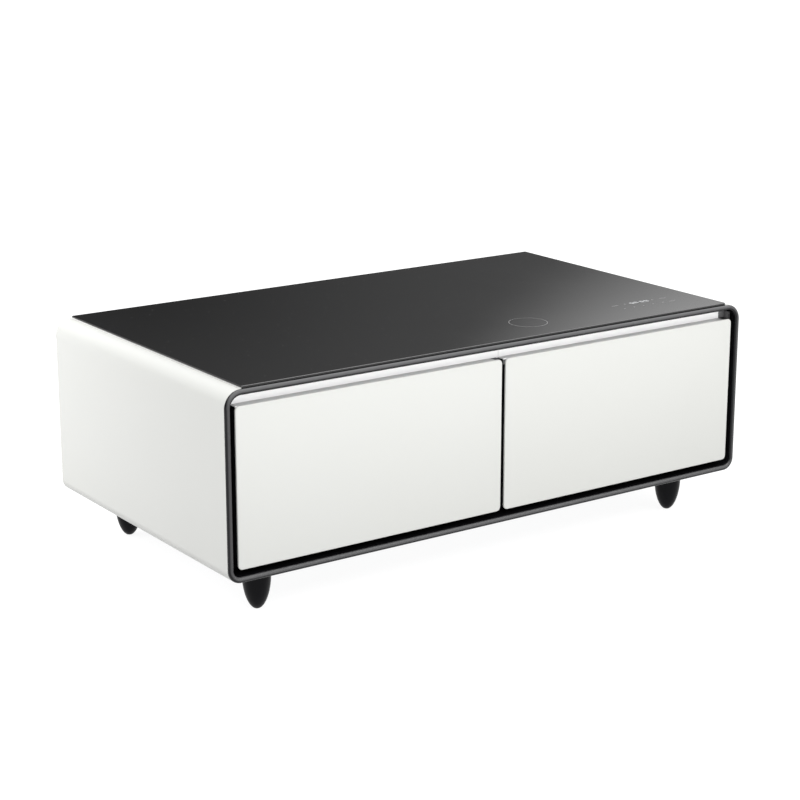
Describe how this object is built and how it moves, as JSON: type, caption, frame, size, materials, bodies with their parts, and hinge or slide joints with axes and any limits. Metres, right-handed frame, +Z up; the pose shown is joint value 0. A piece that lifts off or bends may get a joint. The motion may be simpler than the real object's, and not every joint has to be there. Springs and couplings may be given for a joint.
{
  "type": "refrigerated coffee table",
  "caption": "Low coffee table with a black glass top, white wrap-round sides and chilled drawers that slide out under recessed aluminium pulls, on tapered black feet.",
  "frame": {"origin": "on the floor under the middle of the table", "axes": "+X to the right along the front, +Z up, the drawers open towards -Y"},
  "size_m": [1.3, 0.711, 0.479],
  "materials": {
    "shell_white": "smooth white powder coat",
    "front_white": "smooth white enamel",
    "trim_black": "gloss black moulding",
    "glass_black": "polished, back-painted black",
    "pull_aluminium": "fine brushed, clear anodised",
    "foot_black": "satin black",
    "galvanised": "galvanised sheet",
    "zinc": "zinc plated",
    "liner_white": "vacuum-formed white",
    "foam": "cut foam",
    "seal_grey": "soft seal",
    "tape": "foam tape",
    "grommet": "moulded rubber",
    "grille_black": "fine texture",
    "compressor_black": "satin black",
    "copper": "drawn copper",
    "fin_aluminium": "mill finish",
    "board_green": "circuit board",
    "bin_clear": "moulded white bin",
    "lamp": "diffuser",
    "fan_black": "moulded black",
    "control_grey": "moulded grey"
  },
  "bodies": {
    "cabinet": {"left_side_shell": "shell_white", "right_side_shell": "shell_white", "base_pan": "galvanised", "back_panel": "shell_white", "rear_grille": "grille_black", "back_screws": "zinc", "front_moulding": "trim_black", "front_well": "trim_black", "glass_top": "glass_black", "glass_tape": "tape", "top_tray": "galvanised", "charging_coil": "copper", "charger_board": "board_green", "touch_board": "board_green", "board_standoffs": "grille_black", "cabinet_foam": "foam", "bulkhead": "galvanised", "drawer_lamps": "lamp", "cold_plates": "fin_aluminium", "compressor": "compressor_black", "compressor_grommets": "grommet", "condenser": "fin_aluminium", "fan_housing": "fan_black", "filter_drier": "copper", "suction_line": "copper", "discharge_line": "copper", "liquid_line": "copper", "capillaries": "copper", "control_box": "control_grey", "power_inlet": "grille_black", "foot_studs": "zinc", "foot_anchors": "zinc", "outer_rails": "zinc", "front_left_foot": "foot_black", "front_right_foot": "foot_black", "back_left_foot": "foot_black", "back_right_foot": "foot_black", "left_liner": "liner_white", "right_liner": "liner_white"},
    "fan": {"fan_rotor": "fan_black"},
    "left_drawer": {"left_front_panel": "front_white", "left_pull": "pull_aluminium", "left_pull_cap": "trim_black", "left_door_core": "trim_black", "left_door_gasket": "seal_grey", "left_drawer_frame": "zinc", "left_bin": "bin_clear", "left_bin_divider": "bin_clear", "left_inner_rails": "zinc"},
    "left_slide_members": {"left_middle_rails": "zinc"},
    "right_drawer": {"right_front_panel": "front_white", "right_pull": "pull_aluminium", "right_pull_cap": "trim_black", "right_door_core": "trim_black", "right_door_gasket": "seal_grey", "right_drawer_frame": "zinc", "right_bin": "bin_clear", "right_bin_divider": "bin_clear", "right_inner_rails": "zinc"},
    "right_slide_members": {"right_middle_rails": "zinc"}
  },
  "joints": [
    {"name": "fan_spin", "type": "hinge", "parent": "cabinet", "child": "fan", "pos_m": [0.11796, 0.2733, 0.1642], "axis": [1, 0, 0], "continuous": true},
    {"name": "left_drawer_slide", "type": "slide", "parent": "cabinet", "child": "left_drawer", "axis": [0, -1, 0], "range_m": [0, 0.4]},
    {"name": "left_member_slide", "type": "slide", "parent": "cabinet", "child": "left_slide_members", "axis": [0, -1, 0], "range_m": [0, 0.2]},
    {"name": "right_drawer_slide", "type": "slide", "parent": "cabinet", "child": "right_drawer", "axis": [0, -1, 0], "range_m": [0, 0.4]},
    {"name": "right_member_slide", "type": "slide", "parent": "cabinet", "child": "right_slide_members", "axis": [0, -1, 0], "range_m": [0, 0.2]}
  ],
  "couplings": [
    {"joint": "left_member_slide", "follows": "left_drawer_slide", "ratio": 0.5},
    {"joint": "right_member_slide", "follows": "right_drawer_slide", "ratio": 0.5}
  ]
}
